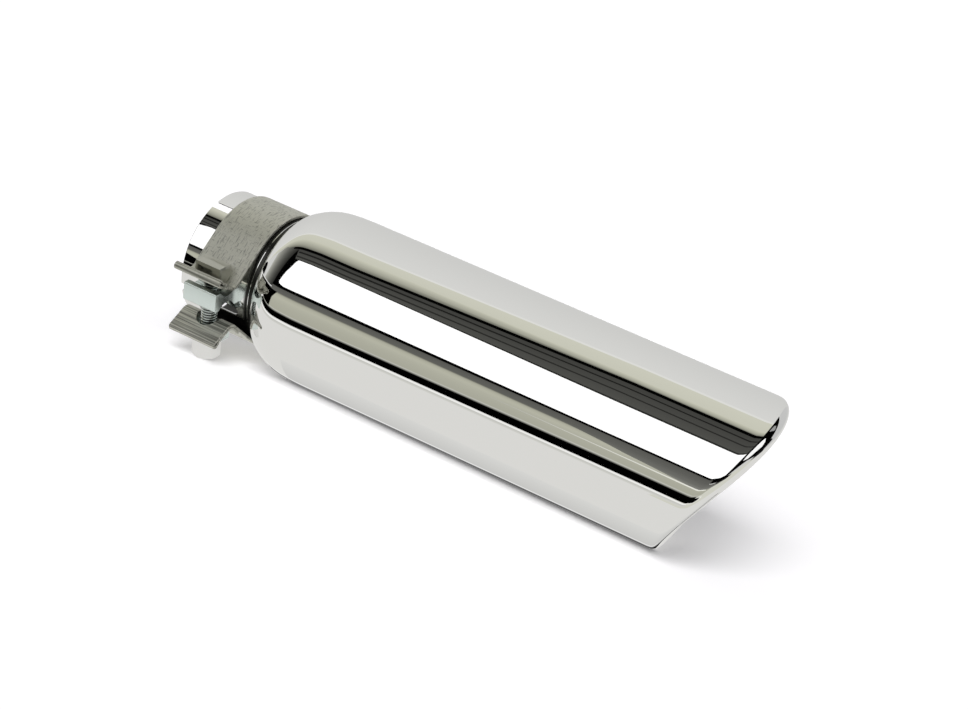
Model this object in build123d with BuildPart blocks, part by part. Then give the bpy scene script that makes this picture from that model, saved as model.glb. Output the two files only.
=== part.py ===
from build123d import *
from math import acos, asin, atan2, cos, degrees, hypot, radians, sin, tan
import os

# Clamp-on exhaust tip, 4 in across, with a 3 in inlet neck, in millimetres.
# X runs along the tube from the inlet mouth at x = 0 to the slanted outlet.
# Z is up. The tip lies on the side of its shell and on its clamp nut.

# Shell: a polished tube, domed down to the neck, with a rolled edge at its slanted, scooped outlet
SHELL_R = 50.8
SHELL_WALL = 1.2
DOME_LENGTH = 25.0
DOME_CORNER_R = 8.0
OUTLET_X = 337.8
OUTLET_SLANT = 31.6
OUTLET_SCOOP_R = 230.0
LONG_SIDE_FROM_EARS = -68.1
LIP_DEPTH = 10.0
LIP_ROUND = 5.0
LIP_FACETS = (11.25, 33.75, 56.25, 78.75)
LIP_INNER_BEVEL = 2.6

# Neck: the slotted inlet tube that the clamp squeezes on the tail pipe
NECK_R = 38.1
NECK_WALL = 1.4
NECK_SHOWN = 52.0
NECK_HIDDEN = 14.0
WELD_LEG = 3.0
WELD_UP = 0.5
SLOT_WIDTH = 5.4
SLOT_LENGTH = 41.0
SAW_CUTS_FROM_EARS = (-70.7, 13.3)

# Clamp band: one strip, bent to a ring, two flared ears and a hem folded over each ear's edge
BAND_X = 29.5
BAND_WIDTH = 32.5
STRIP = 1.5
BAND_INNER_R = 38.6
EAR_HALF_GAP = 11.2
CREST_R = 6.0
UPPER_FLARE = 25.0
LOWER_FLARE = 30.0
FLANK = 11.5
LOOP_R = 1.5
HEM_CLOSING = 20.0
HEM_BEND_R = 3.0
HEM_GAP = 0.2
UPPER_HEM = 3.4
LOWER_TAIL = 7.0
UPPER_HOLE_R = 5.6
LOWER_HOLE_R = 7.0

# Clamp bolt with its D-shaped bar head, its nut and the half-round saddle under the lower ear
BOLT_X = 30.0
BOLT_OUT = 48.5
BOLT_R = 4.76
HEAD_LENGTH = 18.0
HEAD_R = 5.0
HEAD_SIDE = 4.8
HEAD_CORNER = 0.9
POCKET_START = 1.6
POCKET_LENGTH = 10.5
POCKET_DEPTH = 3.0
POCKET_ROOF = 2.2
NUT_ACROSS = 14.3
NUT_HEIGHT = 11.9
NUT_DEPTH = 36.0
NUT_FACE_R = 6.8
SHANK_SHORT = 1.0
SADDLE_R = 3.5
SADDLE_LENGTH = 20.0

# Spacer block: a cast bar between the ears, hollowed above and below, seated on the neck
BLOCK_X = 30.0
BLOCK_LENGTH = 23.0
BLOCK_FACE = 59.0
BLOCK_SEAT = 33.1
BLOCK_MIDDLE = 4.0
BLOCK_FACE_HEIGHT = 10.9
BLOCK_SEAT_HEIGHT = 11.6
BLOCK_WAIST = 3.8
BLOCK_HOLLOW_R = 7.5
BLOCK_ROUND = 0.8

# The ears point this far below the horizontal when shell and nut touch the same flat surface
NUT_REACH = BOLT_OUT + NUT_FACE_R
EAR_DROP = degrees(atan2(NUT_REACH, NUT_DEPTH) - acos(SHELL_R / hypot(NUT_REACH, NUT_DEPTH)))
EAR_ANGLE = radians(180 + EAR_DROP)
EAR_OUT = Vector(0, cos(EAR_ANGLE), sin(EAR_ANGLE))
EAR_UP = Vector(0, sin(EAR_ANGLE), -cos(EAR_ANGLE))

# The strip's middle line: ring radius and shift, the crest's drop, and the slope up to the crest
RING_R = BAND_INNER_R + STRIP / 2
RING_SHIFT = BAND_INNER_R - NECK_R
CREST_DROP = EAR_HALF_GAP + STRIP / 2 + CREST_R
TO_CREST = BOLT_OUT - RING_SHIFT
EAR_RISE = degrees(asin((RING_R + CREST_R) / hypot(TO_CREST, CREST_DROP)) - atan2(CREST_DROP, TO_CREST))
HEM_STEP = STRIP + HEM_GAP


def around(turn):
    """Radial direction that lies this many degrees round the tube from the ears."""
    angle = EAR_ANGLE + radians(turn)
    return Vector(0, cos(angle), sin(angle))


def ear_section(x):
    """Section across the tube: its x runs out through the ears and its y from ear to ear."""
    return Plane(origin=(x, 0, 0), x_dir=EAR_OUT, z_dir=(-1, 0, 0))


def bolt_plane(height):
    """Plane square to the bolt, this far above the middle of the gap between the ears."""
    middle = Vector(BOLT_X, 0, 0) + EAR_OUT * BOLT_OUT
    return Plane(origin=middle + EAR_UP * height, x_dir=(1, 0, 0), z_dir=EAR_UP)


def past_outlet(inset):
    """Solid cylinder lying across the tube, whose side makes the scooped outlet, grown by inset."""
    slant = radians(OUTLET_SLANT)
    long_side = around(LONG_SIDE_FROM_EARS)
    centre = Vector(OUTLET_X, 0, 0) + (Vector(cos(slant), 0, 0) - long_side * sin(slant)) * OUTLET_SCOOP_R
    with BuildPart() as scoop:
        with BuildSketch(Plane(origin=centre, x_dir=(1, 0, 0), z_dir=long_side.cross(Vector(1, 0, 0)))):
            Circle(OUTLET_SCOOP_R + inset)
        extrude(amount=2 * SHELL_R, both=True)
    return scoop.part


def dome_arcs(wall):
    """The dome's section, moved in by wall: a tight arc up from the neck, then a wide one to the shell."""
    rise = SHELL_R - NECK_R
    run = DOME_LENGTH - DOME_CORNER_R
    wide_r = (run ** 2 + rise ** 2 - DOME_CORNER_R ** 2) / (2 * (rise - DOME_CORNER_R))
    turn = degrees(asin(run / (wide_r - DOME_CORNER_R)))
    corner = CenterArc((NECK_SHOWN + DOME_CORNER_R, NECK_R), DOME_CORNER_R - wall, 90 + turn, 90 - turn)
    wide = CenterArc((NECK_SHOWN + DOME_LENGTH, SHELL_R - wide_r), wide_r - wall, 90, turn)
    return corner, wide


def lip_facet(rod, turn):
    """The rod with its outlet edge bevelled along the tangent at this angle round the lip's roll."""
    front = rod.faces().sort_by(Axis.X)[-1]
    spare = LIP_ROUND * (cos(radians(turn)) + sin(radians(turn)) - 1)
    return chamfer(front.edges(), spare / cos(radians(turn)), spare / sin(radians(turn)), reference=front)


def strip_line(upper):
    """Middle line of half the strip, from the far side of the ring out along one ear."""
    closing = radians(HEM_CLOSING)
    flare = UPPER_FLARE if upper else LOWER_FLARE
    leg = (LOOP_R * (1 + cos(closing)) - HEM_BEND_R * (1 - cos(closing)) - HEM_STEP) / sin(closing)
    run_back = FLANK - leg * cos(closing) - (LOOP_R + HEM_BEND_R) * sin(closing)
    with BuildLine() as half:
        ring = CenterArc((RING_SHIFT, 0), RING_R, 180, 90 + EAR_RISE)
        crest = CenterArc((BOLT_OUT, -CREST_DROP), CREST_R, 90 + EAR_RISE, -EAR_RISE - flare)
        Line(ring @ 1, crest @ 0)
        flank = Line(crest @ 1, crest @ 1 + (crest % 1) * FLANK)
        loop = JernArc(flank @ 1, flank % 1, LOOP_R, -180 - HEM_CLOSING)
        back = Line(loop @ 1, loop @ 1 + (loop % 1) * leg)
        bend = JernArc(back @ 1, back % 1, HEM_BEND_R, HEM_CLOSING)
        if upper:
            Line(bend @ 1, bend @ 1 + (bend % 1) * UPPER_HEM)
        else:
            under = Line(bend @ 1, bend @ 1 + (bend % 1) * run_back)
            hem = JernArc(under @ 1, under % 1, CREST_R - HEM_STEP, EAR_RISE + flare)
            Line(hem @ 1, hem @ 1 + (hem % 1) * LOWER_TAIL)
    return half.line.mirror(Plane.XZ) if upper else half.line


def hollow_centre(side):
    """Height of the round hollow's centre, above the block for side 1 and below it for side -1."""
    return BLOCK_MIDDLE + side * (BLOCK_WAIST / 2 + BLOCK_HOLLOW_R)


# Shell: its outside is turned with the dome's arcs and its room with straight cuts between their ends
tube_end = OUTLET_X + 2 * SHELL_R
with BuildPart() as domed_rod:
    with BuildSketch(Plane.XZ):
        with BuildLine():
            corner, wide = dome_arcs(0)
            Polyline(wide @ 0, (tube_end, SHELL_R), (tube_end, 0), (NECK_SHOWN, 0), corner @ 1)
        make_face()
    revolve(axis=Axis.X)
corner_in, wide_in = dome_arcs(SHELL_WALL)
with BuildPart() as shell_room:
    with BuildSketch(Plane.XZ):
        with BuildLine():
            Polyline(
                corner_in @ 1, corner_in @ 0, wide_in @ 0.5, wide_in @ 0, (tube_end, SHELL_R - SHELL_WALL),
                (tube_end, 0), (NECK_SHOWN + SHELL_WALL, 0), close=True
            )
        make_face()
    revolve(axis=Axis.X)
cut_rod = domed_rod.part - past_outlet(0)
lipped_rod = cut_rod
for lip_turn in LIP_FACETS:
    lipped_rod = lipped_rod & lip_facet(cut_rod, lip_turn)
room_to_lip = shell_room.part - past_outlet(LIP_DEPTH)
with BuildPart() as outer_shell:
    add(lipped_rod)
    add(room_to_lip, mode=Mode.SUBTRACT)
    with BuildSketch(Plane.YZ.offset(NECK_SHOWN + DOME_LENGTH)):
        Circle(SHELL_R - LIP_DEPTH)
    extrude(amount=OUTLET_X, mode=Mode.SUBTRACT)
    front = outer_shell.faces().filter_by(lambda f: f.radius == OUTLET_SCOOP_R)[0]
    chamfer(front.inner_wires()[0].edges(), LIP_INNER_BEVEL)
    with BuildSketch(Plane.YZ.offset(NECK_SHOWN)):
        Circle(NECK_R)
    extrude(amount=NECK_HIDDEN, mode=Mode.SUBTRACT)

# Neck
with BuildPart() as inlet_neck:
    with BuildSketch(Plane.YZ):
        Circle(NECK_R)
        Circle(NECK_R - NECK_WALL, mode=Mode.SUBTRACT)
    extrude(amount=NECK_SHOWN + NECK_HIDDEN)
    for turn in SAW_CUTS_FROM_EARS:
        with BuildSketch(Plane(origin=(0, 0, 0), x_dir=(1, 0, 0), z_dir=around(turn))):
            Rectangle(SLOT_LENGTH - SLOT_WIDTH / 2, SLOT_WIDTH, align=(Align.MIN, Align.CENTER))
            with Locations((SLOT_LENGTH - SLOT_WIDTH / 2, 0)):
                Circle(SLOT_WIDTH / 2)
        extrude(amount=NECK_R + 1, both=True, mode=Mode.SUBTRACT)

# Weld run inside the dome, where it meets the neck
with BuildPart() as neck_weld:
    with BuildSketch(Plane.XZ):
        with BuildLine():
            weld_top = corner_in @ 1 + (corner_in @ 0 - corner_in @ 1) * WELD_UP
            Polyline(corner_in @ 1, (NECK_SHOWN + SHELL_WALL + WELD_LEG, NECK_R), weld_top, close=True)
        make_face()
    revolve(axis=Axis.X)

# Clamp band
with BuildPart() as clamp_band:
    with BuildSketch(ear_section(BAND_X)):
        trace(strip_line(upper=False).edges(), line_width=STRIP)
        trace(strip_line(upper=True).edges(), line_width=STRIP)
    extrude(amount=BAND_WIDTH / 2, both=True)
    with BuildSketch(bolt_plane(0)):
        Circle(UPPER_HOLE_R)
    extrude(amount=NUT_DEPTH, mode=Mode.SUBTRACT)
    with BuildSketch(bolt_plane(0)):
        Circle(LOWER_HOLE_R)
    extrude(amount=-NUT_DEPTH, mode=Mode.SUBTRACT)

# Spacer block
with BuildPart() as spacer_block:
    with BuildSketch(ear_section(BLOCK_X)):
        with BuildLine():
            Polyline(
                (BLOCK_FACE, BLOCK_MIDDLE - BLOCK_FACE_HEIGHT / 2),
                (BLOCK_FACE, BLOCK_MIDDLE + BLOCK_FACE_HEIGHT / 2),
                (BLOCK_SEAT, BLOCK_MIDDLE + BLOCK_SEAT_HEIGHT / 2),
                (BLOCK_SEAT, BLOCK_MIDDLE - BLOCK_SEAT_HEIGHT / 2),
                close=True
            )
        make_face()
        with Locations((BOLT_OUT, hollow_centre(1)), (BOLT_OUT, hollow_centre(-1))):
            Circle(BLOCK_HOLLOW_R, mode=Mode.SUBTRACT)
        Circle(NECK_R, mode=Mode.SUBTRACT)
    extrude(amount=BLOCK_LENGTH / 2, both=True)
    fillet(spacer_block.edges().filter_by(Axis.X), BLOCK_ROUND)
    with BuildSketch(bolt_plane(0)):
        Circle(BOLT_R)
    extrude(amount=BLOCK_FACE_HEIGHT, mode=Mode.SUBTRACT)

# Bolt: the bar head lies in the upper ear's trough
head_base = EAR_HALF_GAP + STRIP
head_middle = head_base + HEAD_R
with BuildPart() as t_bolt:
    with BuildSketch(ear_section(BOLT_X)):
        with Locations((BOLT_OUT, head_middle)):
            Circle(HEAD_R)
            Rectangle(2 * HEAD_R, HEAD_SIDE, align=(Align.CENTER, Align.MIN))
    extrude(amount=HEAD_LENGTH / 2, both=True)
    chamfer(t_bolt.faces().sort_by(Axis.X)[-1].edges(), HEAD_CORNER)
    with BuildSketch(ear_section(BOLT_X - HEAD_LENGTH / 2 + POCKET_START + POCKET_LENGTH)):
        with Locations((BOLT_OUT + HEAD_R, head_middle + HEAD_SIDE - POCKET_ROOF)):
            Rectangle(2 * POCKET_DEPTH, HEAD_R + HEAD_SIDE - POCKET_ROOF, align=(Align.CENTER, Align.MAX))
    extrude(amount=POCKET_LENGTH, mode=Mode.SUBTRACT)
    with BuildSketch(bolt_plane(SHANK_SHORT - NUT_DEPTH)):
        Circle(BOLT_R)
    extrude(amount=NUT_DEPTH + head_base)

# Nut, chamfered round its outer face
with BuildPart() as clamp_nut:
    with BuildSketch(bolt_plane(-NUT_DEPTH)):
        RegularPolygon(NUT_ACROSS / 2, 6, major_radius=False, rotation=90)
    extrude(amount=NUT_HEIGHT)
    with BuildSketch(bolt_plane(-NUT_DEPTH)):
        Circle(NUT_FACE_R)
    extrude(amount=NUT_HEIGHT, taper=-60, mode=Mode.INTERSECT)
    with BuildSketch(bolt_plane(-NUT_DEPTH)):
        Circle(BOLT_R)
    extrude(amount=NUT_HEIGHT, mode=Mode.SUBTRACT)

# Half-round saddle between the nut and the hem under the lower ear
saddle_top = EAR_HALF_GAP + 2 * STRIP + HEM_GAP
saddle_half = NUT_ACROSS / 2
with BuildPart() as nut_saddle:
    with BuildSketch(ear_section(BOLT_X)):
        with BuildLine():
            ridge = CenterArc(
                (BOLT_OUT, -saddle_top - SADDLE_R), SADDLE_R, 90 + EAR_RISE, -EAR_RISE - LOWER_FLARE
            )
            inner_fall = (saddle_half - SADDLE_R * sin(radians(EAR_RISE))) * tan(radians(EAR_RISE))
            outer_fall = (saddle_half - SADDLE_R * sin(radians(LOWER_FLARE))) * tan(radians(LOWER_FLARE))
            Polyline(
                ridge @ 1, (BOLT_OUT + saddle_half, (ridge @ 1).Y - outer_fall),
                (BOLT_OUT + saddle_half, NUT_HEIGHT - NUT_DEPTH),
                (BOLT_OUT - saddle_half, NUT_HEIGHT - NUT_DEPTH),
                (BOLT_OUT - saddle_half, (ridge @ 0).Y - inner_fall), ridge @ 0
            )
        make_face()
    extrude(amount=SADDLE_LENGTH / 2, both=True)
    with BuildSketch(bolt_plane(0)):
        Circle(BOLT_R)
    extrude(amount=-NUT_DEPTH, mode=Mode.SUBTRACT)

pieces = {
    "outer_shell": outer_shell,
    "inlet_neck": inlet_neck,
    "neck_weld": neck_weld,
    "clamp_band": clamp_band,
    "spacer_block": spacer_block,
    "t_bolt": t_bolt,
    "clamp_nut": clamp_nut,
    "nut_saddle": nut_saddle,
}
os.makedirs("parts", exist_ok=True)
for name, piece in pieces.items():
    piece.part.label = name
    export_step(piece.part, f"parts/{name}.step")
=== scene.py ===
import bmesh
import bpy
from math import acos, asin, atan2, cos, degrees, hypot, pi, radians, sin, sqrt
from mathutils import Matrix, Vector


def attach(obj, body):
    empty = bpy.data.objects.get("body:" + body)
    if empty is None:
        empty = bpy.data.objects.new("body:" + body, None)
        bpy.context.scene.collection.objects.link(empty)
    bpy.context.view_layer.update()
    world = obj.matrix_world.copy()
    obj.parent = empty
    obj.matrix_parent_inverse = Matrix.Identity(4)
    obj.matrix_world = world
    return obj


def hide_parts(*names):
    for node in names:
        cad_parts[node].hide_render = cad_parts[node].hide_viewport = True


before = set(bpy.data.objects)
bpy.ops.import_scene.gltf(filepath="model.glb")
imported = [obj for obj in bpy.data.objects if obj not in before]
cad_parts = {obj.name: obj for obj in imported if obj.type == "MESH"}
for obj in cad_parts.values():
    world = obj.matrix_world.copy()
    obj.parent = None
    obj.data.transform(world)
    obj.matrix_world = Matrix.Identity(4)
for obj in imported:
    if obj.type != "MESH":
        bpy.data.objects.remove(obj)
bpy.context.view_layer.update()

# Sizes in millimetres, as in the part's source
MM = 0.001
SHELL_R = 50.8
SHELL_WALL = 1.2
DOME_LENGTH = 25.0
DOME_CORNER_R = 8.0
SHOULDER_DEPTH = 0.25
SHOULDER_LENGTH = 11.0
SHOULDER_RUN = 14.0
OUTLET_X = 337.8
OUTLET_SLANT = radians(31.6)
OUTLET_SCOOP_R = 230.0
LONG_SIDE_FROM_EARS = -68.1
LIP_R = 5.0
LIP_LEAD = 3.0
LIP_LEAD_TILT = radians(6.0)
LIP_SINK = LIP_LEAD * LIP_LEAD_TILT / 2 - LIP_R * (1 - cos(LIP_LEAD_TILT))
NECK_R = 38.1
NECK_WALL = 1.4
NECK_BORE_R = NECK_R - NECK_WALL
NECK_SHOWN = 52.0
NECK_END = 66.0
RIM_ROUND = 0.1
RIM_MIDDLE = 0.03
RIM_SUPPORT = 2.5 * RIM_ROUND
SLOT_WIDTH = 5.4
SLOT_LENGTH = 41.0
SAW_CUTS_FROM_EARS = (-70.7, 13.3)
SAW_REACH = 60.0
BOLT_X = 30.0
BOLT_OUT = 48.5
BOLT_R = 4.76
THREAD_PITCH = 1.5875
THREAD_DEPTH = 1.0
THREAD_STEPS = 28
HEAD_BASE = 12.7
NUT_DEPTH = 36.0
NUT_FACE_R = 6.8
NECK_EDGE = 0.08
CLAMP_EDGE = 0.3
HEAD_EDGE = 0.6
ROUND_STEPS = 256
SHARP = 35.0

# The tip rests on its shell and its nut, which sets how far its ears hang below the horizontal
NUT_REACH = BOLT_OUT + NUT_FACE_R
EAR_DROP = degrees(atan2(NUT_REACH, NUT_DEPTH) - acos(SHELL_R / hypot(NUT_REACH, NUT_DEPTH)))
EAR_ANGLE = radians(180 + EAR_DROP)
LONG_SIDE = EAR_ANGLE + radians(LONG_SIDE_FROM_EARS)
ALONG = Vector((1, 0, 0))
EAR_OUT = Vector((0, cos(EAR_ANGLE), sin(EAR_ANGLE)))
EAR_UP = Vector((0, sin(EAR_ANGLE), -cos(EAR_ANGLE)))
BOLT_AT = ALONG * BOLT_X + EAR_OUT * BOLT_OUT
FLOOR_Z = -SHELL_R * MM

# Where a finish or a painted shade changes, from one distance in millimetres to another
# Painted shade on the neck: past the band up to the dome, less one thin line; inside its bore; and under the
# clamp's block
NECK_SHADE_PAST_BAND = (44.5, 46.2)
NECK_UNSHADED_LINE = (47.8, 48.3)
UNSHADED_LINE_EDGE = 0.15
NECK_BORE = (37.1, 37.5)
UNDER_BLOCK_ALONG = (11, 13)
UNDER_BLOCK_DOWN = (10.5, 12.5)
RING_TO_EARS = (47.5, 49.5)
# Painted shade on the thread, from its grooves out to its crests
GROOVE_TO_CREST = (4.0, 4.6)

POLISHED = (0.9, 0.9, 0.89)
# Near-black colour of the neck's painted shade
PAINTED_SHADE_GREY = (0.045, 0.045, 0.042)
BUMP_HEIGHT = 0.2


class Finish:
    """A metal finish in the making: its material, and short ways to add texture to it."""

    def __init__(self, name, colour=POLISHED, roughness=0.5):
        self.material = bpy.data.materials.new(name)
        self.material.use_nodes = True
        self.nodes = self.material.node_tree.nodes
        self.links = self.material.node_tree.links
        self.shader = self.nodes["Principled BSDF"]
        self.shader.inputs["Base Color"].default_value = (*colour, 1)
        self.shader.inputs["Metallic"].default_value = 1.0
        self.shader.inputs["Roughness"].default_value = roughness

    def place(self):
        """Where a point lies in the frame, in metres."""
        return self.nodes.new("ShaderNodeTexCoord").outputs["Object"]

    def maths(self, operation, first, second):
        """One value worked out from two."""
        node = self.nodes.new("ShaderNodeMath")
        node.operation = operation
        self.links.new(first, node.inputs[0])
        self.links.new(second, node.inputs[1])
        return node.outputs["Value"]

    def vector(self, operation, first, second=(0, 0, 0)):
        """What an operation makes of a vector and a fixed one: a number for a length or a dot product."""
        node = self.nodes.new("ShaderNodeVectorMath")
        node.operation = operation
        self.links.new(first, node.inputs[0])
        node.inputs[1].default_value = second
        return node.outputs["Value" if operation in ("LENGTH", "DOT_PRODUCT") else "Vector"]

    def noise(self, along, scale, detail=4.0):
        """Noise over the piece, stretched by the three factors in along."""
        stretch = self.nodes.new("ShaderNodeMapping")
        stretch.inputs["Scale"].default_value = along
        noise = self.nodes.new("ShaderNodeTexNoise")
        noise.inputs["Scale"].default_value = scale
        noise.inputs["Detail"].default_value = detail
        self.links.new(self.place(), stretch.inputs["Vector"])
        self.links.new(stretch.outputs["Vector"], noise.inputs["Vector"])
        return noise.outputs["Fac"]

    def spread(self, value, source, target):
        """The value moved from one range to another, and kept inside it."""
        moved = self.nodes.new("ShaderNodeMapRange")
        moved.inputs["From Min"].default_value, moved.inputs["From Max"].default_value = source
        moved.inputs["To Min"].default_value, moved.inputs["To Max"].default_value = target
        self.links.new(value, moved.inputs["Value"])
        return moved.outputs["Result"]

    def reach(self, direction, low, high):
        """0 to 1 between two distances from the origin, in millimetres along this direction."""
        distance = self.vector("DOT_PRODUCT", self.place(), direction)
        return self.spread(distance, (low * MM, high * MM), (0, 1))

    def between(self, direction, low, high, edge):
        """1 between two distances along this direction and 0 outside them, with edges this wide."""
        above = self.reach(direction, low, low + edge)
        beyond = self.reach(direction, high - edge, high)
        return self.maths("SUBTRACT", above, beyond)

    def blend(self, share, first, second):
        """Between two values: the first where share is 0, the second where it is 1."""
        mix = self.nodes.new("ShaderNodeMix")
        self.links.new(share, mix.inputs["Factor"])
        self.links.new(first, mix.inputs["A"])
        self.links.new(second, mix.inputs["B"])
        return mix.outputs["Result"]

    def colour(self, share, first, second):
        """Base colour between two colours."""
        mix = self.nodes.new("ShaderNodeMix")
        mix.data_type = "RGBA"
        self.links.new(share, mix.inputs[0])
        mix.inputs[6].default_value = (*first, 1)
        mix.inputs[7].default_value = (*second, 1)
        self.links.new(mix.outputs[2], self.shader.inputs["Base Color"])

    def roughen(self, value, source, target):
        """Roughness between two values."""
        self.links.new(self.spread(value, source, target), self.shader.inputs["Roughness"])

    def dent(self, height, strength):
        """Bump from a height."""
        bump = self.nodes.new("ShaderNodeBump")
        bump.inputs["Strength"].default_value = strength
        bump.inputs["Distance"].default_value = BUMP_HEIGHT * MM
        self.links.new(height, bump.inputs["Height"])
        self.links.new(bump.outputs["Normal"], self.shader.inputs["Normal"])

    def scratch(self, along, scale, roughness, strength):
        """Fine lines in the finish: noise stretched by the three factors in along."""
        lines = self.noise(along, scale)
        self.roughen(lines, (0, 1), roughness)
        self.dent(lines, strength)


def mirror_polish():
    """Shell: a mirror with the faint unevenness of a buffing wheel."""
    finish = Finish("mirror_polish")
    finish.roughen(finish.noise((1, 1, 1), 40.0), (0, 1), (0.01, 0.04))
    return finish.material


def neck_polish():
    """Neck: polished outside, and rough with near-black painted shade inside, under the clamp's block and
    from past the band up to the dome, where one thin line is left unshaded.
    """
    finish = Finish("neck_polish")
    # Painted shade from past the band up to the dome, with one thin line left unshaded
    shade_past_band = finish.reach(ALONG, *NECK_SHADE_PAST_BAND)
    unshaded_line = finish.between(ALONG, *NECK_UNSHADED_LINE, UNSHADED_LINE_EDGE)
    shade_by_dome = finish.maths("SUBTRACT", shade_past_band, unshaded_line)
    # Painted shade inside the bore
    from_axis = finish.vector("LENGTH", finish.vector("MULTIPLY", finish.place(), (0, 1, 1)))
    inside = finish.spread(from_axis, [r * MM for r in NECK_BORE], (1, 0))
    # Painted shade under the clamp's block
    behind_mouth = finish.reach(ALONG, *UNDER_BLOCK_ALONG)
    below_ears = finish.reach(-EAR_UP, *UNDER_BLOCK_DOWN)
    shade_under_block = finish.maths("MULTIPLY", behind_mouth, below_ears)
    painted_shade = finish.maths("MAXIMUM", finish.maths("MAXIMUM", shade_by_dome, shade_under_block), inside)
    # Colour from polished to near-black painted shade, with a rougher finish where it is shaded
    finish.colour(painted_shade, POLISHED, PAINTED_SHADE_GREY)
    finish.roughen(painted_shade, (0, 1), (0.02, 0.32))
    return finish.material


def mill_finish():
    """Band: scratched round the ring, and drawn in bars along the ears."""
    finish = Finish("mill_finish")
    on_ears = finish.reach(EAR_OUT, *RING_TO_EARS)
    round_ring = finish.noise((1, 0.12, 0.12), 1900.0, 2.0)
    across_ring = finish.noise((0.2, 1, 1), 1500.0, 2.0)
    along_ears = finish.noise((0.015, 1, 1), 1100.0, 2.0)
    strokes = finish.spread(round_ring, (0.33, 0.45), (0.8, 0))
    marks = finish.spread(across_ring, (0.3, 0.38), (0.8, 0))
    bars = finish.spread(along_ears, (0.42, 0.58), (1, 0))
    shades = finish.blend(on_ears, finish.maths("MAXIMUM", strokes, marks), bars)
    finish.colour(shades, (0.7, 0.7, 0.635), (0.3, 0.3, 0.27))
    finish.roughen(round_ring, (0.3, 0.7), (0.5, 0.62))
    finish.dent(finish.blend(on_ears, round_ring, along_ears), 0.7)
    return finish.material


def zinc_thread():
    """Thread: bright on its crests, with painted shade in its grooves, by the distance from the bolt's axis.
    """
    finish = Finish("zinc_thread", roughness=0.22)
    from_bolt = finish.vector("SUBTRACT", finish.place(), BOLT_AT * MM)
    from_axis = finish.vector("LENGTH", finish.vector("CROSS_PRODUCT", from_bolt, EAR_UP))
    groove_shade_off = finish.spread(from_axis, [r * MM for r in GROOVE_TO_CREST], (0, 1))
    # Painted shade in the grooves, and the bright colour on the crests
    finish.colour(groove_shade_off, (0.1, 0.11, 0.11), (0.8, 0.84, 0.82))
    return finish.material


def plated(name, colour, along, scale, roughness, strength):
    """Plain plate or weld metal with fine scratches."""
    finish = Finish(name, colour)
    finish.scratch(along, scale, roughness, strength)
    return finish.material


bright_zinc = plated("bright_zinc", (0.78, 0.86, 0.84), (1, 1, 1), 300.0, (0.2, 0.3), 0.01)
zinc_bolt = plated("zinc_bolt", (0.52, 0.52, 0.46), (0.2, 1, 1), 900.0, (0.24, 0.42), 0.6)
satin_nut = plated("satin_nut", POLISHED, (1, 1, 1), 300.0, (0.25, 0.35), 0.05)
weld_grey = plated("weld_grey", (0.5, 0.48, 0.45), (1, 1, 1), 400.0, (0.4, 0.55), 0.4)


def mesh_object(name, bm, finish=None):
    """Object from a bmesh in metres, linked to the scene."""
    mesh = bpy.data.meshes.new(name)
    bm.to_mesh(mesh)
    bm.free()
    if finish:
        mesh.materials.append(finish)
    made = bpy.data.objects.new(name, mesh)
    bpy.context.scene.collection.objects.link(made)
    return made


def piece(name, bm, node, finish, sharp=SHARP):
    """Finished piece from a bmesh in millimetres, in place of a node where one is given."""
    bmesh.ops.scale(bm, vec=(MM, MM, MM), verts=bm.verts)
    made = mesh_object(name, bm, finish)
    for face in made.data.polygons:
        face.use_smooth = True
    made.data.set_sharp_from_angle(angle=radians(sharp))
    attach(made, "root")
    if node:
        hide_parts(node)
    return made


def soften(made, width, segments=2):
    """Rounds a piece's sharp edges a little, so that they catch the light."""
    bevel = made.modifiers.new("edge", "BEVEL")
    bevel.width = width * MM
    bevel.segments = segments
    bevel.limit_method = "ANGLE"
    bevel.angle_limit = radians(40)
    bevel.harden_normals = True
    bevel.use_clamp_overlap = True


def cad_copy(node):
    """The CAD node's mesh as a bmesh in millimetres, its loose triangles joined and its flats cleared."""
    bm = bmesh.new()
    bm.from_mesh(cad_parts[node].data)
    bmesh.ops.scale(bm, vec=(1 / MM, 1 / MM, 1 / MM), verts=bm.verts)
    bmesh.ops.remove_doubles(bm, verts=bm.verts, dist=0.002)
    bmesh.ops.dissolve_limit(bm, angle_limit=radians(0.5), verts=bm.verts, edges=bm.edges)
    bmesh.ops.recalc_face_normals(bm, faces=bm.faces)
    return bm


def new_verts(grown):
    """The vertices in what an extrude made."""
    return [g for g in grown if isinstance(g, bmesh.types.BMVert)]


def sleeve(rings):
    """Closed skin through rings round the tube's axis: each ring is a function from angle to place."""
    bm = bmesh.new()
    turn = bm.verts.layers.float.new("turn")
    bmesh.ops.create_circle(bm, cap_ends=False, segments=ROUND_STEPS, radius=1.0)
    for v in bm.verts:
        v[turn] = atan2(v.co.y, v.co.x)
        v.co = rings[0](v[turn])
    first = list(bm.edges)
    last = first
    for ring in rings[1:]:
        grown = bmesh.ops.extrude_edge_only(bm, edges=last)["geom"]
        added = set(new_verts(grown))
        for v in added:
            v.co = ring(v[turn])
        edges = [g for g in grown if isinstance(g, bmesh.types.BMEdge)]
        last = [e for e in edges if e.verts[0] in added and e.verts[1] in added]
    bmesh.ops.bridge_loops(bm, edges=first + last)
    bmesh.ops.recalc_face_normals(bm, faces=bm.faces)
    return bm


def around(x, r, a):
    """Point at this place along the tube, this far from its axis, at this angle round it."""
    return Vector((x, r * cos(a), r * sin(a)))


def plain_ring(x, r):
    """Ring square to the tube."""
    return lambda a: around(x, r, a)


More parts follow.
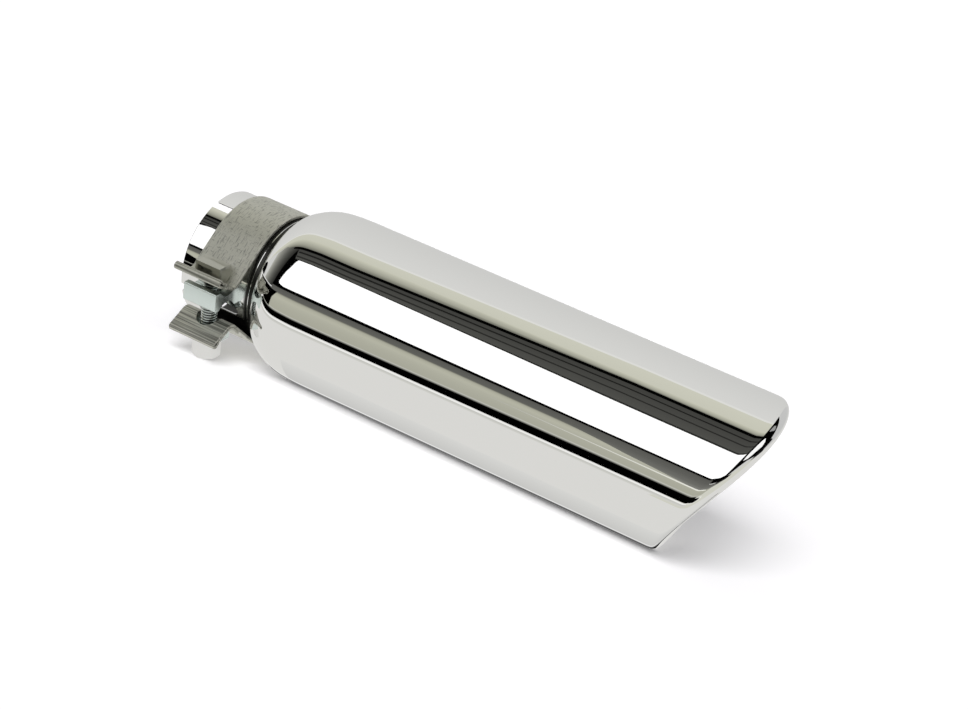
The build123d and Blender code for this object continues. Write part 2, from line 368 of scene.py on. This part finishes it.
def lip_x(a):
    """Where the middle of the rolled lip lies along the tube, at this angle round it."""
    s = (SHELL_R - LIP_R) * cos(a - LONG_SIDE)
    centre_x = OUTLET_X + OUTLET_SCOOP_R * cos(OUTLET_SLANT)
    centre_s = -OUTLET_SCOOP_R * sin(OUTLET_SLANT)
    return centre_x - sqrt((OUTLET_SCOOP_R + LIP_R) ** 2 - (s - centre_s) ** 2)


def lip_ring(roll):
    """Ring on the lip's roll: 0 is its outermost line and 90 degrees its front."""
    def place(a):
        r = SHELL_R - LIP_R - LIP_SINK
        slope = (lip_x(a + 0.001) - lip_x(a - 0.001)) / 0.002
        length = hypot(r, slope)
        out = around(0, 1, a)
        side = around(0, 1, a + pi / 2)
        ahead = ALONG * (r / length) - side * (slope / length)
        return around(lip_x(a), r, a) + out * (LIP_R * cos(roll)) + ahead * (LIP_R * sin(roll))
    return place


def ring_before_lip(back, wall=0.0):
    """Ring that follows the lip's line, this far behind the roll's start, where the tube begins to close."""
    lead = max(LIP_LEAD - back, 0)
    r = SHELL_R - wall - LIP_LEAD_TILT * lead ** 2 / (2 * LIP_LEAD)
    start = LIP_R * sin(LIP_LEAD_TILT)
    return lambda a: around(lip_x(a) + start - back, r, a)


def dome_points(wall, steps):
    """Section of the dome from the neck to the shell, moved in by wall."""
    rise = SHELL_R - NECK_R
    run = DOME_LENGTH - DOME_CORNER_R
    wide_r = (run ** 2 + rise ** 2 - DOME_CORNER_R ** 2) / (2 * (rise - DOME_CORNER_R))
    turn = asin(run / (wide_r - DOME_CORNER_R))
    points = []
    for i in range(steps + 1):
        a = pi - (pi / 2 - turn) * i / steps
        r = DOME_CORNER_R - wall
        points.append((NECK_SHOWN + DOME_CORNER_R + r * cos(a), NECK_R + r * sin(a)))
    for i in range(1, steps + 1):
        a = pi / 2 + turn - turn * i / steps
        r = wide_r - wall
        points.append((NECK_SHOWN + DOME_LENGTH + r * cos(a), SHELL_R - wide_r + r * sin(a)))
    return points


def shoulder(x):
    """How far the dome's soft shoulder lies inside its two arcs and the plain tube."""
    past = x - NECK_SHOWN - DOME_LENGTH
    if past < 0:
        t = max(1 + past / SHOULDER_RUN, 0)
        slope = -2 * SHOULDER_DEPTH / SHOULDER_LENGTH
        return SHOULDER_DEPTH * (3 - 2 * t) * t ** 2 + slope * SHOULDER_RUN * (t - 1) * t ** 2
    return SHOULDER_DEPTH * max(1 - past / SHOULDER_LENGTH, 0) ** 2


# Shell: out along the dome and the tube, round the lip, and back inside
TUBE_RINGS = (77.8, 78.6, 79.6, 80.8, 82.2, 84, 86, 88, 180, 290)
LEAD_RINGS = (5, 3, 2.3, 1.6, 0.8)
ROLL_DEGREES = range(6, 247, 8)
rings = [plain_ring(x, r - shoulder(x)) for x, r in dome_points(0, 20)]
rings += [plain_ring(x, SHELL_R - shoulder(x)) for x in TUBE_RINGS]
rings += [ring_before_lip(back) for back in LEAD_RINGS]
rings += [lip_ring(radians(roll)) for roll in ROLL_DEGREES]
rings += [ring_before_lip(9, SHELL_WALL), plain_ring(TUBE_RINGS[-1], SHELL_R - SHELL_WALL)]
rings += [plain_ring(x, r) for x, r in reversed(dome_points(SHELL_WALL, 8))]
piece("mirror_shell", sleeve(rings), "outer_shell", mirror_polish(), sharp=50.0)

# Neck: in along its outside, over the rounded rim of its mouth, and back along its bore
neck_line = [(x, NECK_R) for x in (NECK_END, 30, 2, RIM_SUPPORT, RIM_ROUND)]
neck_line += [
    (RIM_MIDDLE, NECK_R - RIM_MIDDLE), (0, NECK_R - RIM_ROUND), (0, NECK_R - RIM_SUPPORT),
    (0, NECK_BORE_R + RIM_ROUND), (RIM_MIDDLE, NECK_BORE_R + RIM_MIDDLE)
]
neck_line += [(x, NECK_BORE_R) for x in (RIM_ROUND, 2, 30, NECK_END)]
neck_rings = [plain_ring(x, r) for x, r in neck_line]
neck = piece("polished_neck", sleeve(neck_rings), "inlet_neck", neck_polish())


def saw_blade(turn):
    """Bar through both walls of the neck and out of its mouth, round at its inner end."""
    bm = bmesh.new()
    bmesh.ops.create_circle(bm, cap_ends=True, segments=32, radius=SLOT_WIDTH / 2)
    mouth_side = [v for v in bm.verts if v.co.x < -0.01]
    bmesh.ops.translate(bm, vec=(-2 * SLOT_LENGTH, 0, 0), verts=mouth_side)
    bmesh.ops.translate(bm, vec=(SLOT_LENGTH - SLOT_WIDTH / 2, 0, -SAW_REACH), verts=bm.verts)
    grown = bmesh.ops.extrude_face_region(bm, geom=list(bm.faces))["geom"]
    bmesh.ops.translate(bm, vec=(0, 0, 2 * SAW_REACH), verts=new_verts(grown))
    bmesh.ops.recalc_face_normals(bm, faces=bm.faces)
    angle = EAR_ANGLE + radians(turn) - pi / 2
    bmesh.ops.rotate(bm, cent=(0, 0, 0), matrix=Matrix.Rotation(angle, 3, "X"), verts=bm.verts)
    bmesh.ops.scale(bm, vec=(MM, MM, MM), verts=bm.verts)
    return mesh_object("saw_blade", bm)


def take_away(made, cutter):
    """Cuts one object out of another, and drops the cutter."""
    cut = made.modifiers.new("cut", "BOOLEAN")
    cut.operation = "DIFFERENCE"
    cut.solver = "EXACT"
    cut.object = cutter
    bpy.context.view_layer.update()
    seen = made.evaluated_get(bpy.context.evaluated_depsgraph_get())
    cut_mesh = bpy.data.meshes.new_from_object(seen)
    made.modifiers.clear()
    made.data = cut_mesh
    bpy.data.objects.remove(cutter)


for saw_turn in SAW_CUTS_FROM_EARS:
    take_away(neck, saw_blade(saw_turn))
neck.data.set_sharp_from_angle(angle=radians(SHARP))
soften(neck, NECK_EDGE, segments=1)

# Clamp band, block, nut and saddle: the CAD solids with softened edges
for name, node, slot, finish in (
    ("clamp_strip", "clamp_band", "band_steel", mill_finish()),
    ("block", "spacer_block", "zinc_plate", bright_zinc),
    ("nut", "clamp_nut", "nut_steel", satin_nut),
    ("saddle", "nut_saddle", "zinc_plate", bright_zinc)
):
    soften(piece(name, cad_copy(node), node, finish), CLAMP_EDGE)

# Bolt head: the CAD solid above the shank
bm = cad_copy("t_bolt")
everything = list(bm.verts) + list(bm.edges) + list(bm.faces)
shank_end = BOLT_AT + EAR_UP * (HEAD_BASE - 1)
bmesh.ops.bisect_plane(bm, geom=everything, plane_co=shank_end, plane_no=EAR_UP, clear_inner=True)
bmesh.ops.holes_fill(bm, edges=[e for e in bm.edges if e.is_boundary], sides=0)
head = piece("t_head", bm, "t_bolt", zinc_bolt)
soften(head, HEAD_EDGE, segments=3)

# Bolt thread: one turn's section, spun up the shank from its end to the head
bm = bmesh.new()
root = BOLT_R - THREAD_DEPTH
section = [(root, 0), (BOLT_R, 0.36), (BOLT_R, 0.46), (root, 0.86), (root, 1.0)]
verts = [bm.verts.new((r, 0, share * THREAD_PITCH)) for r, share in section]
edges = [bm.edges.new(pair) for pair in zip(verts, verts[1:])]
turns = int((NUT_DEPTH + HEAD_BASE - 3) / THREAD_PITCH)
bmesh.ops.spin(
    bm, geom=verts + edges, cent=(0, 0, 0), axis=(0, 0, 1), dvec=(0, 0, THREAD_PITCH / THREAD_STEPS),
    angle=2 * pi * turns, steps=THREAD_STEPS * turns, use_merge=False
)
bmesh.ops.remove_doubles(bm, verts=bm.verts, dist=0.01)
bmesh.ops.holes_fill(bm, edges=[e for e in bm.edges if e.is_boundary], sides=0)
bmesh.ops.recalc_face_normals(bm, faces=bm.faces)
stand = Matrix((-ALONG, EAR_OUT, EAR_UP)).transposed()
bmesh.ops.rotate(bm, cent=(0, 0, 0), matrix=stand, verts=bm.verts)
bmesh.ops.translate(bm, vec=BOLT_AT + EAR_UP * (1.0 - NUT_DEPTH), verts=bm.verts)
piece("bolt_thread", bm, None, zinc_thread(), sharp=25.0)

# Weld ring inside the dome
piece("weld_ring", cad_copy("neck_weld"), "neck_weld", weld_grey)

# Camera: measured for a tip with its ears at PHOTO_EARS, then turned with it to its rest on shell and nut
PHOTO_EARS = 167.5
REST_TURN = radians(180 + EAR_DROP - PHOTO_EARS)
IMAGE_WIDTH = 968
FOCAL_PIXELS = 3000.0
CAMERA_AT = Vector((0.93195, -1.0493, 1.0376))
CAMERA_AHEAD = Vector((-0.4534, 0.6369, -0.6234)).normalized()
CAMERA_RIGHT = Vector((0.8147, 0.5800, 0.0)).normalized()
camera_data = bpy.data.cameras.new("camera")
camera_data.sensor_width = 36.0
camera_data.lens = FOCAL_PIXELS * camera_data.sensor_width / IMAGE_WIDTH
camera_data.clip_start = 0.05
camera_data.clip_end = 50
camera = bpy.data.objects.new("camera", camera_data)
bpy.context.scene.collection.objects.link(camera)
turned = Matrix.Rotation(REST_TURN, 3, "X")
look = Matrix((CAMERA_RIGHT, CAMERA_RIGHT.cross(CAMERA_AHEAD), -CAMERA_AHEAD)).transposed()
camera.rotation_mode = "QUATERNION"
camera.rotation_quaternion = (turned @ look).to_quaternion()
camera.location = turned @ CAMERA_AT
bpy.context.scene.camera = camera

# Studio cards that only polished metal shows, on a wall round the tip and on the floor beside it, in metres.
# An edge of a card is given by the places round the shell, at two stations along it, that reflect it,
# in degrees for a tip with its ears at PHOTO_EARS. Cards that overlap differ a little in radius or height.
STATIONS = (0.110, 0.290)
SHELL_START, SHELL_END = 0.077, 0.352
TABLE_SPARE = 0.15
TABLE_REACH = 0.25
WALL_R = 1.0
BEHIND_WALL_R = 1.015
CARD_GAP = 0.0002
STRIP_GAPS = 2
FLOOR_FROM = 144.4
POLISH = 0.937


def over_floor(gaps):
    """Height of a card that lies this many gaps above the floor."""
    return FLOOR_Z + gaps * CARD_GAP


def seen_in_shell(x, place):
    """The spot on the wall or floor that the camera sees reflected at this place on the shell."""
    out = around(0, 1, radians(place) + REST_TURN)
    r = SHELL_R * MM
    spot = ALONG * x + out * r
    ray = (spot - camera.location).normalized()
    ray -= 2 * ray.dot(out) * out
    if place >= FLOOR_FROM:
        return spot + ray * ((over_floor(STRIP_GAPS) - spot.z) / ray.z)
    across = ray.y ** 2 + ray.z ** 2
    half = spot.y * ray.y + spot.z * ray.z
    return spot + ray * ((sqrt(half ** 2 + across * (WALL_R ** 2 - r ** 2)) - half) / across)


def shine(grey, warm=0.0):
    """Colour of a card that polished steel shows as this grey, from 0 to 255."""
    level = (grey / 255) ** 2.2 / POLISH
    return (level, level, level * (1 - warm), 1.0)


def part_way(pair, share):
    """The value at this share of the way from the first of two to the second."""
    return pair[0] + (pair[1] - pair[0]) * share


def empty_nodes(tree):
    """A node tree's nodes and links, with the nodes it came with removed."""
    tree.nodes.clear()
    return tree.nodes, tree.links


card_glow = bpy.data.materials.new("card_glow")
card_glow.use_nodes = True
nodes, links = empty_nodes(card_glow.node_tree)
tint = nodes.new("ShaderNodeAttribute")
tint.attribute_name = "tint"
light = nodes.new("ShaderNodeEmission")
surface = nodes.new("ShaderNodeOutputMaterial")
links.new(tint.outputs["Color"], light.inputs["Color"])
links.new(light.outputs["Emission"], surface.inputs["Surface"])


def card(name, rows, colours):
    """Glowing skin through rows of points, with a colour to each row, which shows in polished metal only."""
    bm = bmesh.new()
    layer = bm.verts.layers.float_color.new("tint")
    last = None
    for row, colour in zip(rows, colours):
        verts = [bm.verts.new(c) for c in row]
        for v in verts:
            v[layer] = colour
        line = [bm.edges.new(pair) for pair in zip(verts, verts[1:])]
        if last:
            bmesh.ops.bridge_loops(bm, edges=last + line)
        last = line
    made = mesh_object(name, bm, card_glow)
    made.visible_camera = False
    made.visible_diffuse = False
    made.visible_shadow = False
    made.visible_transmission = False


def strip(name, first, second, greys, warm=0.0, left=(-1.1, -1.1), right=(0.3, 0.3), nearer=0.0):
    """Card on the wall between two edges, with a grey and two ends along the tube for each edge."""
    steps = max(1, round((second[0] - first[0]) / 4))
    rows, colours = [], []
    for i in range(steps + 1):
        share = i / steps
        row = [seen_in_shell(x, part_way(edge, share)) for x, edge in zip(STATIONS, zip(first, second))]
        row = [row[0].copy(), *row, row[1].copy()]
        row[0].x, row[-1].x = part_way(left, share), part_way(right, share)
        rows.append([Vector((c.x, c.y * (1 - nearer), c.z * (1 - nearer))) for c in row])
        colours.append(shine(part_way(greys, share), warm))
    card(name, rows, colours)


def wall_arc(name, ends, greys, turns, r=WALL_R, warm=0.0):
    """Card on the wall between two distances along the tube, over these degrees round it."""
    steps = max(1, round((turns[1] - turns[0]) / 10))
    arc = [radians(part_way(turns, i / steps)) for i in range(steps + 1)]
    card(name, [[around(x, r, a) for a in arc] for x in ends], [shine(grey, warm) for grey in greys])


def wall_patch(name, edges, grey, r=WALL_R):
    """Card on the wall from (degrees round it, start, end) rows, with start and end along the tube."""
    starts = [around(start, r, radians(turn)) for turn, start, end in edges]
    ends = [around(end, r, radians(turn)) for turn, start, end in edges]
    card(name, [starts, ends], [shine(grey)] * 2)


def floor_strip(name, first, second, greys, warm, ends=(SHELL_START, SHELL_END), spare=TABLE_SPARE):
    """Card on the floor between two edges, as far as the shell's straight part shows it."""
    rows = []
    for edge in (first, second):
        line = [(ends[0], edge[0]), (STATIONS[0], edge[0]), (STATIONS[1], edge[1]), (ends[1], edge[1])]
        row = [seen_in_shell(x, place) for x, place in line]
        row[0].x -= spare * max(1, -row[0].y / TABLE_REACH)
        row[-1].x += spare * max(0, -row[-1].y / TABLE_REACH - 0.5)
        rows.append(row)
    card(name, rows, [shine(grey, warm) for grey in greys])


def floor_card(name, rows, gaps, grey, warm=0.0):
    """Card of one grey on the floor, from rows of places along the tube and across it."""
    points = [[Vector((x, y, over_floor(gaps))) for x, y in row] for row in rows]
    card(name, points, [shine(grey, warm)] * len(rows))


# The room: pale all round, with black at its two far ends
ROOM_START, ROOM_END = -9, 4
ROOM_HALF = 1.1
wall_arc("room", (ROOM_START, ROOM_END), (205, 205), (-2, 182), r=1.04, warm=0.02)
for name, x, grey in (("end_behind_inlet", ROOM_START, 10), ("end_past_outlet", ROOM_END, 30)):
    corners = [[Vector((x, y, z)) for y in (-ROOM_HALF, ROOM_HALF)] for z in (FLOOR_Z, ROOM_HALF)]
    card(name, corners, [shine(grey)] * 2)

# Above: pale sky with one seam, falling off to a black seam
strip("sky", (51.5, 51.5), (96.4, 91.5), (200, 214), 0.02, left=(ROOM_START, ROOM_START), right=(0.25, 0.3))
strip("sky_seam", (96.4, 91.5), (97.7, 93.0), (222, 222), 0.03, left=(ROOM_START, ROOM_START))
strip("warm_wall", (97.7, 93.0), (103.0, 101.5), (204, 200), 0.15, left=(ROOM_START, -4), right=(0.3, 0.28))
strip("warm_shade", (103.0, 101.5), (107.4, 104.0), (200, 160), 0.17, left=(-4, -1.4), right=(0.28, 0.29))
strip("warm_dusk", (107.4, 104.0), (109.8, 104.9), (160, 112), 0.17, left=(-1.4, -1.2), right=(0.29, 0.3))
strip("black_seam", (109.8, 104.9), (111.7, 106.9), (7, 7), left=(-0.9, -0.9))
strip("dark_wall", (111.7, 106.9), (119.6, 120.7), (66, 82), 0.08, left=(-0.7, -0.66), right=(0.34, 0.3))
SEAM_LEFT, SEAM_RIGHT = (-0.66, -0.66), (0.34, 0.3)
for number, (first, second, grey) in enumerate((
    ((113.4, 109.6), (114.5, 110.4), 36),
    ((116.7, 113.8), (117.7, 114.6), 47),
    ((119.0, 119.6), (119.6, 120.7), 44)
)):
    strip(f"dark_seam_{number}", first, second, (grey, grey), 0.08, SEAM_LEFT, SEAM_RIGHT, nearer=0.01)

# Softbox, and the dark corner of the room behind its inlet end
strip("softbox", (119.6, 120.7), (139.3, 139.6), (275, 275), left=(-0.53, -0.53), right=(0.3, 0.42))
wall_patch("softbox_end", (
    (133.8, -0.61, -0.5), (142, -0.64, -0.5), (147, -0.66, -0.5), (158, -0.73, -0.5),
    (169, -0.79, -0.5), (171, -0.76, -0.5), (173.4, -0.62, -0.5)
), 275)
CORNER_TURNS = (109, 180)
CORNER_STEPS = 6
for number, (near, far, greys) in enumerate((
    ((-0.4, -0.4), (-0.64, -1.16), (5, 9)),
    ((-0.64, -1.16), (-1.3, -2.4), (46, 120)),
    ((-1.3, -2.4), (-2.7, -4.3), (120, 175))
)):
    shares = [i / CORNER_STEPS for i in range(CORNER_STEPS + 1)]
    rows = [
        [around(part_way(ends, s), BEHIND_WALL_R, radians(part_way(CORNER_TURNS, s))) for s in shares]
        for ends in (near, far)
    ]
    card(f"dark_corner_{number}", rows, [shine(grey, 0.1) for grey in greys])

# The far edge of the table, then the table beside the tip: black, pale and warm, black, and a bright rim
strip("table_edge", (139.3, 139.6), (141.2, 140.8), (4, 6), right=(0.5, 0.5))
strip("table_shade", (141.2, 140.8), (143.4, 143.2), (88, 96), 0.08, right=(0.06, 0.06))
strip("table_far", (143.4, 143.2), (144.4, 144.4), (94, 100), 0.08, right=(0.06, 0.1))
floor_strip("table_rise", (144.4, 144.4), (145.4, 145.2), (104, 170), 0.18)
floor_strip("table_seam", (145.4, 145.2), (147.6, 146.8), (170, 182), 0.18)
floor_strip("table", (147.6, 146.8), (155.2, 153.2), (181, 169), 0.17)
floor_strip("table_rim", (155.2, 153.2), (155.7, 153.9), (176, 196), 0.1)
floor_strip("table_fall", (155.7, 153.9), (156.8, 154.9), (176, 5), 0.1)
floor_strip("floor_black", (156.8, 154.9), (160.3, 159.7), (5, 5), 0.0)
floor_strip("bright_rim", (160.7, 160.0), (161.9, 161.1), (242, 238), 0.02)
floor_strip("rim_shade", (161.9, 161.1), (163.6, 162.7), (192, 210), 0.05)

# Under the tip, where the shell's lower side looks: painted shadow of the tip on the floor, darkening
# towards where the shell rests, with a pale line across it
floor_strip("under_shadow_fall", (190.0, 190.0), (212.4, 211.4), (215, 197), 0.02, ends=(0.08, 0.4), spare=0)
floor_strip("under_line", (212.9, 211.9), (215.2, 213.6), (236, 232), 0.0, ends=(0.06, 0.4), spare=0)
floor_strip("under_shade", (215.2, 213.6), (221.5, 218.0), (200, 30), 0.0, ends=(0.06, 0.4), spare=0)
floor_strip("under_shadow_dark", (221.5, 218.0), (227.0, 226.5), (30, 5), 0.0, ends=(0.06, 0.4), spare=0)

# The table's outlet end: it dulls towards its far corner, which a thin glint crosses
DUSK_END = 0.35
GLINT_PLACE = 149.0


def above_strips(x, place, further=0.0):
    """The spot seen at this place on the shell, one gap above the floor's strips and this much further."""
    return seen_in_shell(x, place) + Vector((further, 0, CARD_GAP))


card("table_dusk", [
    [above_strips(start, place), above_strips(DUSK_END, place), above_strips(DUSK_END, place, 0.25)]
    for place, start in ((144.4, 0.262), (146.6, 0.304), (148.6, 0.342))
], [shine(grey, 0.08) for grey in (98, 108, 128)])
card("table_glint", [
    [above_strips(x, GLINT_PLACE - half, further), above_strips(x, GLINT_PLACE + half, further)]
    for x, further, half in ((0.22, 0, 0.1), (0.29, 0, 0.25), (DUSK_END, 0, 0.4), (DUSK_END, 0.05, 0.4))
], [shine(grey, 0.08) for grey in (176, 212, 235, 235)])

# Round the outlet: the black strip's end in its bright rim, black to the left, and the table to the right
for name, gaps, grey, warm, stops in (
    ("black_end_rim", 1, 236, 0.05, ((0.322, -0.127, 0.02), (0.341, -0.127, 0.02), (0.354, -0.126, 0.011))),
    ("black_end", 3, 5, 0.0, ((0.3, -0.127, 0.016), (0.336, -0.127, 0.016), (0.347, -0.126, 0.008)))
):
    rows = [[(x, middle - half), (x, middle + half)] for x, middle, half in stops]
    floor_card(name, rows, gaps, grey, warm)
floor_card("outlet_floor_black", (
    ((0.12, -3), (0.28, -0.8), (0.4, -0.29)),
    ((0.9, -3), (0.75, -0.6), (0.5, -0.29))
), 3, 9)
floor_card("floor_black_left", (
    ((-3, -4.2), (-3, -0.3), (-3, -0.14)),
    ((-3, -4), (-0.14, -0.26), (-0.03, -0.14))
), 5, 4)
floor_card("table_right", (
    ((0.2, -3), (0.335, -0.3), (0.3, -0.09)),
    ((3, -3), (3, -0.3), (3, -0.09))
), 0.5, 208, 0.11)

# Past the outlet: grey, then black all the way down, with one tall window in it
wall_arc("outlet_grey", (0.2, ROOM_END), (196, 190), (8, 56), r=1.01)
wall_arc("outlet_black_high", (1.9, ROOM_END), (9, 14), (28, 64), r=0.99)
wall_arc("outlet_black", (0.0, ROOM_END), (9, 14), (60, 152), r=1.01)
wall_patch("outlet_black_low", (
    (152, 0, ROOM_END), (160, 0, 1.4), (168, 0, 1.0), (176, 0, 0.8), (182, 0, 0.75)
), 9, r=BEHIND_WALL_R)
wall_patch("outlet_glint", ((70, 0.75, 1.0), (78, 0.55, 0.95), (86, 0.5, 0.75), (92, 0.5, 0.6)), 150)
wall_patch("outlet_window", (
    (104, 0.8, 1.3), (112, 0.65, 1.8), (122, 0.58, 1.7),
    (135, 0.55, 1.45), (143, 0.58, 1.35), (153, 0.7, 1.1)
), 255)

# Floor that keeps the shadow and is white away from it
FLOOR_LIFT = 0.17
FLOOR_HALF = 12.0
floor_white = bpy.data.materials.new("floor_white")
floor_white.use_nodes = True
nodes, links = empty_nodes(floor_white.node_tree)
matt = nodes.new("ShaderNodeBsdfDiffuse")
matt.inputs["Color"].default_value = (0.92, 0.91, 0.93, 1)
lift = nodes.new("ShaderNodeEmission")
lift.inputs["Color"].default_value = (1, 1, 1, 1)
path = nodes.new("ShaderNodeLightPath")
share = nodes.new("ShaderNodeMath")
share.operation = "MULTIPLY"
share.inputs[1].default_value = FLOOR_LIFT
shown_in_metal = nodes.new("ShaderNodeEmission")
shown_in_metal.inputs["Color"].default_value = (0.76, 0.755, 0.735, 1)
both = nodes.new("ShaderNodeAddShader")
pick = nodes.new("ShaderNodeMixShader")
surface = nodes.new("ShaderNodeOutputMaterial")
links.new(path.outputs["Is Camera Ray"], share.inputs[0])
links.new(share.outputs["Value"], lift.inputs["Strength"])
links.new(matt.outputs["BSDF"], both.inputs[0])
links.new(lift.outputs["Emission"], both.inputs[1])
links.new(path.outputs["Is Glossy Ray"], pick.inputs["Fac"])
links.new(both.outputs["Shader"], pick.inputs[1])
links.new(shown_in_metal.outputs["Emission"], pick.inputs[2])
links.new(pick.outputs["Shader"], surface.inputs["Surface"])
bm = bmesh.new()
bmesh.ops.create_grid(bm, x_segments=1, y_segments=1, size=FLOOR_HALF)
bmesh.ops.translate(bm, vec=(0, 0, FLOOR_Z), verts=bm.verts)
mesh_object("floor", bm, floor_white)

# World: soft light from all sides, white to the camera
SOFT_LEVEL = 0.36
world = bpy.data.worlds.new("studio")
bpy.context.scene.world = world
world.use_nodes = True
nodes, links = empty_nodes(world.node_tree)
soft_light = nodes.new("ShaderNodeBackground")
soft_light.inputs["Color"].default_value = (1, 1, 1, 1)
soft_light.inputs["Strength"].default_value = SOFT_LEVEL
white = nodes.new("ShaderNodeBackground")
white.inputs["Color"].default_value = (1, 1, 1, 1)
white.inputs["Strength"].default_value = 1.0
path = nodes.new("ShaderNodeLightPath")
pick = nodes.new("ShaderNodeMixShader")
surface = nodes.new("ShaderNodeOutputWorld")
links.new(path.outputs["Is Camera Ray"], pick.inputs["Fac"])
links.new(soft_light.outputs["Background"], pick.inputs[1])
links.new(white.outputs["Background"], pick.inputs[2])
links.new(pick.outputs["Shader"], surface.inputs["Surface"])

# One soft lamp in front, whose shadow falls behind the tip
lamp_data = bpy.data.lights.new("soft_lamp", "SUN")
lamp_data.energy = 3.1
lamp_data.angle = radians(32)
lamp = bpy.data.objects.new("soft_lamp", lamp_data)
lamp.location = (0.3, -1.0, 0.8)
lamp.rotation_mode = "QUATERNION"
lamp.rotation_quaternion = lamp.location.to_track_quat("Z", "Y")
lamp.visible_glossy = False
bpy.context.scene.collection.objects.link(lamp)

bpy.context.scene.view_settings.view_transform = "Standard"
